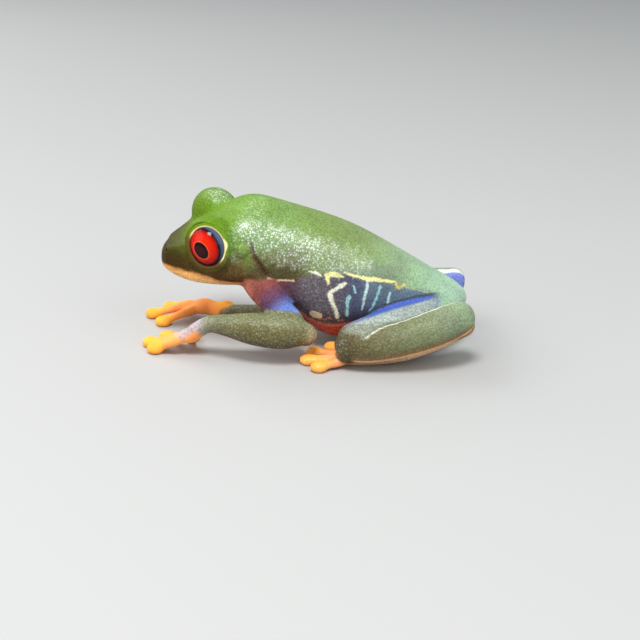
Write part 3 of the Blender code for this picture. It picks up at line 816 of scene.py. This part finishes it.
# %% Legs
THIGH_OUT, THIGH_BLUE = (146, 158, 152), (82, 104, 190)
SHANK = (
    (0.0, (84, 72, 38)), (0.3, (106, 104, 68)), (0.6, (116, 124, 88)),
    (0.85, (126, 140, 108)), (1.0, (130, 150, 116)),
)
CREASE = ((2.8, 60), (4.4, 41), (5.4, 63), (6.9, 86), (9.0, 90))  # y and degrees round the shank
LEGS = ((1, THIGH_LEFT, SHANK_LEFT, TARSUS_LEFT), (-1, THIGH_RIGHT, SHANK_RIGHT, TARSUS_RIGHT))
for side, thigh, shank, tarsus in LEGS:
    distance, _, away = limb_field(points, thigh)
    round_it = np.degrees(np.arctan2(away[:, 2], away[:, 0] * side))  # 0 is outward and 90 is up
    front = ramp(points[:, 1], 13.0, 11.6)
    # Painted shadow in the crease where the top of the thigh meets the rump.
    paint((58, 66, 66), 0.8 * ramp(distance, 0.6, 0.4) * front * ramp(round_it, 60, 80))
    cover = over(distance) * front
    paint(along_keys(points[:, 1], ((3.4, (132, 134, 150)), (5.6, THIGH_BLUE))), cover)
    paint(THIGH_OUT, cover * ramp(round_it, 86, 77))
    shine = np.maximum(shine, 0.5 * cover * ramp(round_it, 80, 72))
    distance, _, away = limb_field(points, tarsus)
    paint((214, 120, 62), over(distance))
    paint((236, 190, 150), over(distance) * ramp(away[:, 2], 0.2, -0.3))
    distance, place, away = limb_field(points, shank)
    round_it = np.mod(np.degrees(np.arctan2(away[:, 2], away[:, 0] * side)) + 360, 360)
    cover = over(distance)
    paint(along_keys(place + 0.05 * slow, SHANK), cover)
    low = np.minimum(round_it, 360 - round_it)
    past_knee = ramp(place, 0.0, 0.08)
    height = points[:, 2] - along_rows(points[:, 1], [station[1:3] for station in shank])
    paint((142, 112, 66), past_knee * cover * ramp(low, 4, 36) * ramp(height, 0.1, -0.4))
    paint((246, 194, 148), past_knee * cover * ramp(np.abs(round_it - 304), 20, 8))
    shine = np.maximum(shine, 0.11 * cover)
    if side > 0:
        crease = along_rows(points[:, 1], CREASE) - 3 * slow
        # The top of the near knee and shank: a paler grey-green with more shine, partly painted glinting
        # light on its granules.
        knee_top = cover * ramp(round_it, crease - 6, crease + 24) * ramp(round_it, 200, 150)
        knee_top = knee_top * ramp(points[:, 1], 2.0, 2.9) * ramp(points[:, 1], 7.2, 6.2)
        paint((130, 134, 114), knee_top)
        shine = np.maximum(shine, 0.38 * knee_top)
        # A thin white line along the crease between thigh and shank: a painted highlight where the shank's
        # edge catches the light.
        crease_highlight = ramp(np.abs(round_it - crease), 5.0, 2.0)
        crease_highlight = crease_highlight * ramp(points[:, 1], 4.2, 4.8) * ramp(points[:, 1], 15.5, 11.0)
        paint((236, 240, 230), 0.85 * cover * crease_highlight)
    else:
        heel = ramp(place + 0.05 * slow, 0.4, 0.65)
        paint((226, 230, 216), heel * cover * ramp(np.abs(round_it - 175), 82, 74))
        paint((112, 126, 200), heel * cover * ramp(np.abs(round_it - 175), 54, 46))
print("legs painted")

# %% The fold, the eardrum and the shine, with painted shade and painted glints
fold = stroke(level[:, 1], points[:, 2], FOLD)
# Painted shade along the crease of the fold: soft and brown at its sides, darker in it.
paint((86, 66, 38), 0.65 * beside * ramp(fold, 0.5, 0.0) * ramp(points[:, 2], 12.6, 11.6))
paint((76, 46, 32), 0.9 * beside * ramp(fold, 0.16, -0.1) * ramp(points[:, 2], 12.8, 12.0))
# A darker ring of painted shade in the groove round the eardrum, and a lighter middle.
ear_edge = ramp(np.abs(ear - EARDRUM_RADIUS), 0.25, 0.02)
paint((72, 64, 34), 0.35 * beside * ear_edge * ramp(points[:, 2], 12.0, 10.8))
paint((104, 120, 68), 0.5 * beside * ramp(ear, 0.6, 0.2))
# The shine band, its core, the nape and the dome over the far eye: where the skin is glossier and its granule
# tips are painted pale as glints where the light falls.
SHINE_BAND = (
    (-7.9, 13.9, 0.7), (-6.2, 13.1, 1.3), (-3.9, 11.9, 1.6),
    (0.4, 10.9, 1.5), (3.8, 10.2, 0.9), (5.0, 9.9, 0.4),
)
SHINE_CORE = ((-8.0, 14.3, 0.3), (-7.6, 13.8, 0.4), (-6.4, 13.2, 0.6), (-3.0, 12.0, 0.4), (-0.4, 11.2, 0.4))
SHINE_NAPE = ((-8.8, 11.6, 0.3), (-9.2, 12.6, 0.8), (-7.8, 14.6, 0.8), (-6.4, 15.6, 0.7))
FAR_DOME = (-3.2, -10.9, 14.9)  # the bulge over the right eye
wavy = (y + 0.3 * slow, z + 0.3 * slow)
band = 0.8 * ramp(stroke(*wavy, SHINE_BAND), 0.8, -0.5) + 0.4 * ramp(stroke(*wavy, SHINE_CORE), 0.6, -0.3)
band = np.maximum(band, 0.35 * ramp(stroke(*wavy, SHINE_NAPE), 0.8, -0.4))
shine = np.maximum(shine, np.minimum(band, 1.0) * (x > 0))
shine = np.maximum(shine, 0.25 * inside * ramp(y, 4.0, 2.0) * ramp(y, -3.0, -1.5))
far_dome = np.linalg.norm(level - np.array(FAR_DOME), axis=1)
shine = np.maximum(shine, 0.75 * ramp(far_dome + 0.3 * slow, 1.9, 0.6))
shine = np.maximum(shine, 0.04 * ramp(z, 8.0, 10.0) * ramp(y, -16.0, -11.0))
print("share of shining skin:", round(float(np.mean(shine > 0.3)), 2))

# %% Lid rims
for side in (1, -1):
    rim, raised, depth, angle = lid_view(points, side)
    upper = ramp(raised, -0.35, 0.05)
    corner = ramp(np.abs(angle + 0.15), 0.4, 0.0)
    near = ramp(np.abs(depth - LID_DEPTH), 0.5, 0.35)
    edge = 0.97 + 0.12 * corner
    # Painted shade below and in front of the eye, where the lid meets the dome.
    paint((80, 70, 26), 0.8 * ramp(rim, 1.45, 1.15) * ramp(raised, 0.1, -0.5) * ramp(depth, 0.2, 0.5))
    paint((100, 72, 36), near * ramp(rim, 1.06, 0.94))
    paint((240, 226, 170), near * ramp(rim, edge + 0.03, edge - 0.03) * upper)
    grain *= 1 - near * ramp(rim, 1.1, 1.0)
    shine *= 1 - near * ramp(rim, 1.2, 1.1)
colours = skin.data.color_attributes.new("tint", "FLOAT_COLOR", "POINT")
colours.data.foreach_set("color", np.column_stack([linear(np.clip(tint, 0, 255)), np.ones(count)]).ravel())
for name, values in (("grain", grain), ("shine", shine)):
    layer = skin.data.attributes.new(name, "FLOAT", "POINT")
    layer.data.foreach_set("value", values)
print("lid rims painted")

# %% [markdown]
# ## A moist, finely granular skin
#
# The back is covered in tiny smooth bumps, each a glint when light falls on it. Modelling tens
# of thousands of them would cost too much, so a cell pattern drives the bump, paints the tops a
# touch lighter and the grooves darker as painted light and shade, and paints pale glints on the
# tips where the skin shines. A thin coat stands for the film of moisture.

# %% The skin material
def new_material(name):
    """An empty node material with its shader."""
    made = bpy.data.materials.new(name)
    made.use_nodes = True
    return made, made.node_tree.nodes, made.node_tree.links, made.node_tree.nodes["Principled BSDF"]


skin_finish, nodes, links, shader = new_material("moist_skin")
place = nodes.new("ShaderNodeTexCoord").outputs["Object"]


def attribute(name, output="Fac"):
    """A value painted on the skin."""
    made = nodes.new("ShaderNodeAttribute")
    made.attribute_name = name
    return made.outputs[output]


def remap(value, from_low, from_high, to_low, to_high):
    """Stretches one range of values onto another."""
    made = nodes.new("ShaderNodeMapRange")
    made.inputs["From Min"].default_value = from_low
    made.inputs["From Max"].default_value = from_high
    made.inputs["To Min"].default_value = to_low
    made.inputs["To Max"].default_value = to_high
    links.new(value, made.inputs["Value"])
    return made.outputs["Result"]


def times(a, b):
    """The product of two values."""
    made = nodes.new("ShaderNodeMath")
    made.operation = "MULTIPLY"
    links.new(a, made.inputs[0])
    links.new(b, made.inputs[1])
    return made.outputs["Value"]


def mix(amount, first, second):
    """A colour that goes from the first to the second as the amount goes from 0 to 1."""
    made = nodes.new("ShaderNodeMix")
    made.data_type = "RGBA"
    links.new(amount, made.inputs["Factor"])
    for socket, colour in zip([s for s in made.inputs if s.type == "RGBA"], (first, second)):
        if isinstance(colour, tuple):
            socket.default_value = colour
        else:
            links.new(colour, socket)
    return next(s for s in made.outputs if s.type == "RGBA")


def noise(scale, detail):
    """Soft cloudy values."""
    made = nodes.new("ShaderNodeTexNoise")
    made.inputs["Scale"].default_value = scale
    made.inputs["Detail"].default_value = detail
    links.new(place, made.inputs["Vector"])
    return made.outputs["Fac"]


GRAINS_PER_METRE = 4600.0
BUMP_DEPTH = 0.00005  # metres
# The pale colour of the glints painted on the granule tips.
GLINT_PAINT_COLOUR = (0.68, 0.74, 0.68, 1.0)
cells = nodes.new("ShaderNodeTexVoronoi")
cells.inputs["Scale"].default_value = GRAINS_PER_METRE
links.new(place, cells.inputs["Vector"])
granule = cells.outputs["Distance"]
grain_value, shine_value = attribute("grain"), attribute("shine")

# Painted light and shade on each granule: the top a touch lighter, the groove darker.
groove = remap(times(granule, grain_value), 0.15, 0.75, 1.1, 0.74)
patch = remap(noise(420.0, 4.0), 0.3, 0.7, 0.86, 1.12)
toned = nodes.new("ShaderNodeVectorMath")
toned.operation = "SCALE"
links.new(attribute("tint", "Color"), toned.inputs[0])
links.new(times(groove, patch), toned.inputs["Scale"])
# Painted glints: pale granule tips on a random share of the granules, where the skin shines.
wet = remap(cells.outputs["Color"], 0.3, 0.8, 0.22, 1.0)
painted_glints = times(times(remap(granule, 0.52, 0.2, 0.2, 1.0), wet), shine_value)
links.new(mix(painted_glints, toned.outputs["Vector"], GLINT_PAINT_COLOUR), shader.inputs["Base Color"])

bump = nodes.new("ShaderNodeBump")
bump.invert = True
bump.inputs["Strength"].default_value = 0.75
bump.inputs["Distance"].default_value = BUMP_DEPTH
links.new(times(granule, grain_value), bump.inputs["Height"])
links.new(bump.outputs["Normal"], shader.inputs["Normal"])
links.new(remap(shine_value, 0.0, 1.0, 0.5, 0.28), shader.inputs["Roughness"])
links.new(remap(shine_value, 0.0, 1.0, 0.06, 0.6), shader.inputs["Specular IOR Level"])
links.new(remap(shine_value, 0.0, 1.0, 0.01, 0.25), shader.inputs["Coat Weight"])
shader.inputs["Coat Roughness"].default_value = 0.15
shader.inputs["Subsurface Weight"].default_value = 0.1
shader.inputs["Subsurface Radius"].default_value = (1.0, 0.4, 0.15)
shader.inputs["Subsurface Scale"].default_value = 0.0005
print("skin finish:", len(nodes), "nodes")

# %% Dressing the skin
FLESH_NODES = [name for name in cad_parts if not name.startswith("eye_")]


def settle(obj, finish, nodes_stood_for):
    """Turns a piece to metres, puts it over the solids and lets it stand for them."""
    obj.data.transform(Matrix.Scale(MM, 4) @ Matrix.Translation(SHIFT))
    obj.data.materials.clear()
    obj.data.materials.append(finish)
    obj.data.shade_smooth()
    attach(obj, "root")
    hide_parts(*nodes_stood_for)


settle(skin, skin_finish, FLESH_NODES)
triangles = sum(len(face.vertices) - 2 for face in skin.data.polygons)
print("skin:", triangles, "triangles, stands for", len(FLESH_NODES), "solids")

# %% [markdown]
# ## The red eyes
#
# The iris is a red disc with an upright pupil, and round it the eyeball's dark edge shows under
# the lid, with a grey-blue band painted in it as a reflection. The whole lies under a wet, clear
# cornea. The eye could be two shells, but at this size a painted ball with a mirror-smooth coat
# looks the same. The paint needs to know where the eye looks, so the ball gets a UV map laid
# square to the gaze.

# %% Eyeballs with a gaze map
GAZE_MAP_SIZE = 6.0  # millimetres across the UV square


def make_eye(side, name):
    """One eyeball and its UV map, seen along the gaze."""
    bm = bmesh.new()
    bmesh.ops.create_icosphere(bm, subdivisions=5, radius=1.0, matrix=Matrix.Diagonal((*EYE_HALF, 1.0)))
    layer = bm.loops.layers.uv.new("gaze")
    for face in bm.faces:
        for loop in face.loops:
            co = loop.vert.co
            loop[layer].uv = (0.5 + side * co.x / GAZE_MAP_SIZE, 0.5 + co.y / GAZE_MAP_SIZE)
    seat = Matrix.Translation(eye_place(side)) @ gaze_turn(side).to_matrix().to_4x4()
    bmesh.ops.transform(bm, matrix=seat, verts=bm.verts)
    return object_from(bm, name)


eyes = {"eye_left": make_eye(1, "eyeball_left"), "eye_right": make_eye(-1, "eyeball_right")}
print("eyeballs:", [len(e.data.polygons) for e in eyes.values()], "faces")

# %% The eye material
eye_finish, nodes, links, shader = new_material("wet_eye")
gaze = nodes.new("ShaderNodeUVMap")
gaze.uv_map = "gaze"


def oval(centre, half, tilt):
    """0 at the middle of an oval in the gaze map and 1 on its edge. Sizes are in millimetres."""
    fit = nodes.new("ShaderNodeMapping")
    fit.vector_type = "TEXTURE"
    across, up = centre
    fit.inputs["Location"].default_value = (0.5 + across / GAZE_MAP_SIZE, 0.5 + up / GAZE_MAP_SIZE, 0)
    fit.inputs["Rotation"].default_value = (0, 0, math.radians(tilt))
    fit.inputs["Scale"].default_value = (half[0] / GAZE_MAP_SIZE, half[1] / GAZE_MAP_SIZE, 1)
    links.new(gaze.outputs["UV"], fit.inputs["Vector"])
    size = nodes.new("ShaderNodeVectorMath")
    size.operation = "LENGTH"
    links.new(fit.outputs["Vector"], size.inputs[0])
    return size.outputs["Value"]


def linear_colour(colour):
    """A screen colour, 0 to 255, as the renderer's linear colour."""
    return (*(linear(c) for c in colour), 1.0)


def bands(value, stops):
    """A colour ramp with the given places and screen colours. Places run from 0 to 2."""
    half_value = nodes.new("ShaderNodeMath")
    half_value.operation = "MULTIPLY"
    half_value.inputs[1].default_value = 0.5
    links.new(value, half_value.inputs[0])
    made = nodes.new("ShaderNodeValToRGB")
    while len(made.color_ramp.elements) < len(stops):
        made.color_ramp.elements.new(0.5)
    for element, (place_at, colour) in zip(made.color_ramp.elements, stops):
        element.position = place_at / 2
        element.color = linear_colour(colour)
    links.new(half_value.outputs["Value"], made.inputs["Fac"])
    return made.outputs["Color"]


# Each band is its place, 0 at the middle and 1 on the edge of the oval, and its screen colour.
# Outside the iris the eyeball's own dark edge shows under the lid, with a grey-blue band in it that is a
# painted reflection on the wet eye.
IRIS = (
    (0.0, (208, 46, 2)), (0.55, (206, 34, 0)), (0.8, (190, 20, 2)), (0.93, (150, 8, 6)),
    (0.99, (44, 8, 16)), (1.06, (22, 14, 26)), (1.12, (60, 74, 96)), (1.26, (74, 92, 118)),
    (1.38, (34, 40, 48)), (1.46, (16, 16, 20)),
)
PUPIL = (
    (0.0, (50, 14, 16)), (0.6, (42, 10, 14)), (0.88, (16, 4, 8)),
    (0.98, (90, 10, 8)), (1.06, (246, 100, 60)), (1.16, (232, 60, 4)),
)
iris = bands(oval((-0.22, 0.06), (1.55, 1.92), 14), IRIS)
pupil_size = oval((-0.46, -0.14), (0.72, 0.96), 20)
outside_pupil = remap(pupil_size, 1.04, 1.16, 0.0, 1.0)
links.new(mix(outside_pupil, bands(pupil_size, PUPIL), iris), shader.inputs["Base Color"])
shader.inputs["Roughness"].default_value = 0.5
shader.inputs["Specular IOR Level"].default_value = 0.0
shader.inputs["Coat Weight"].default_value = 0.3
shader.inputs["Coat Roughness"].default_value = 0.02
for node_name, eye in eyes.items():
    settle(eye, eye_finish, [node_name])
print("eye finish:", len(nodes), "nodes")

# %% [markdown]
# ## Floor, light and camera
#
# The frog stands on a plain pale floor in soft studio light. One broad lamp hangs high on the
# frog's left, where it glances off the shoulder and flank towards the viewer.

# %% Floor and light
bm = bmesh.new()
bmesh.ops.create_grid(bm, x_segments=1, y_segments=1, size=2.0)
floor = object_from(bm, "floor")
floor_finish, nodes, links, shader = new_material("pale_floor")
shader.inputs["Base Color"].default_value = (0.42, 0.42, 0.41, 1.0)
shader.inputs["Roughness"].default_value = 0.7
floor.data.materials.append(floor_finish)

world = bpy.data.worlds.new("studio")
bpy.context.scene.world = world
world.use_nodes = True
world.node_tree.nodes["Background"].inputs["Color"].default_value = (0.9, 0.95, 1.0, 1.0)
world.node_tree.nodes["Background"].inputs["Strength"].default_value = 0.5


LIT_HEIGHT = 0.008  # metres, the middle of the frog


def add_lamp(name, azimuth, elevation, distance, size, power):
    """A square lamp aimed at the frog, in metres. Azimuth 90 is the frog's left side."""
    a, e = math.radians(azimuth), math.radians(elevation)
    away = Vector((math.sin(a) * math.cos(e), -math.cos(a) * math.cos(e), math.sin(e)))
    data = bpy.data.lights.new(name, "AREA")
    data.size = size
    data.energy = power
    lamp = bpy.data.objects.new(name, data)
    bpy.context.scene.collection.objects.link(lamp)
    lamp.location = Vector((0, 0, LIT_HEIGHT)) + away * distance
    lamp.rotation_euler = away.to_track_quat("Z", "Y").to_euler()


add_lamp("key", 80, 64, 0.30, 0.09, 0.8)
add_lamp("front_fill", 15, 30, 0.4, 0.3, 0.55)
add_lamp("far_fill", -40, 35, 0.4, 0.3, 0.9)
add_lamp("rear_fill", 140, 35, 0.4, 0.3, 0.5)
bpy.context.scene.view_settings.view_transform = "Standard"

# %% The camera
CAMERA_ELEVATION = 21.0
SENSOR_WIDTH = 36.0
CAMERA_DISTANCE = 135.0  # millimetres from the point looked at
PIXELS_PER_MM = 9.15
LOOK_AT = Vector((0.0, 0.0, 4.272))
LOOK_AT_PIXEL = (320.0, 300.0)
IMAGE_SIDE = 640.0
up_tilt = math.radians(CAMERA_ELEVATION)
back = Vector((math.cos(up_tilt), 0, math.sin(up_tilt)))
up = Vector((-math.sin(up_tilt), 0, math.cos(up_tilt)))
camera_data = bpy.data.cameras.new("camera")
camera = bpy.data.objects.new("camera", camera_data)
bpy.context.scene.collection.objects.link(camera)
camera_data.sensor_width = SENSOR_WIDTH
camera_data.lens = SENSOR_WIDTH * PIXELS_PER_MM * CAMERA_DISTANCE / IMAGE_SIDE
camera_data.clip_start = 0.005
camera_data.clip_end = 20.0
drop = (IMAGE_SIDE / 2 - LOOK_AT_PIXEL[1]) / PIXELS_PER_MM
spot = LOOK_AT + back * CAMERA_DISTANCE - up * drop
turn = Matrix((Vector((0, 1, 0)), up, back)).transposed().to_4x4()
camera.matrix_world = Matrix.Translation((spot + SHIFT) * MM) @ turn
bpy.context.scene.camera = camera
print("lens:", round(camera_data.lens, 1), "mm")
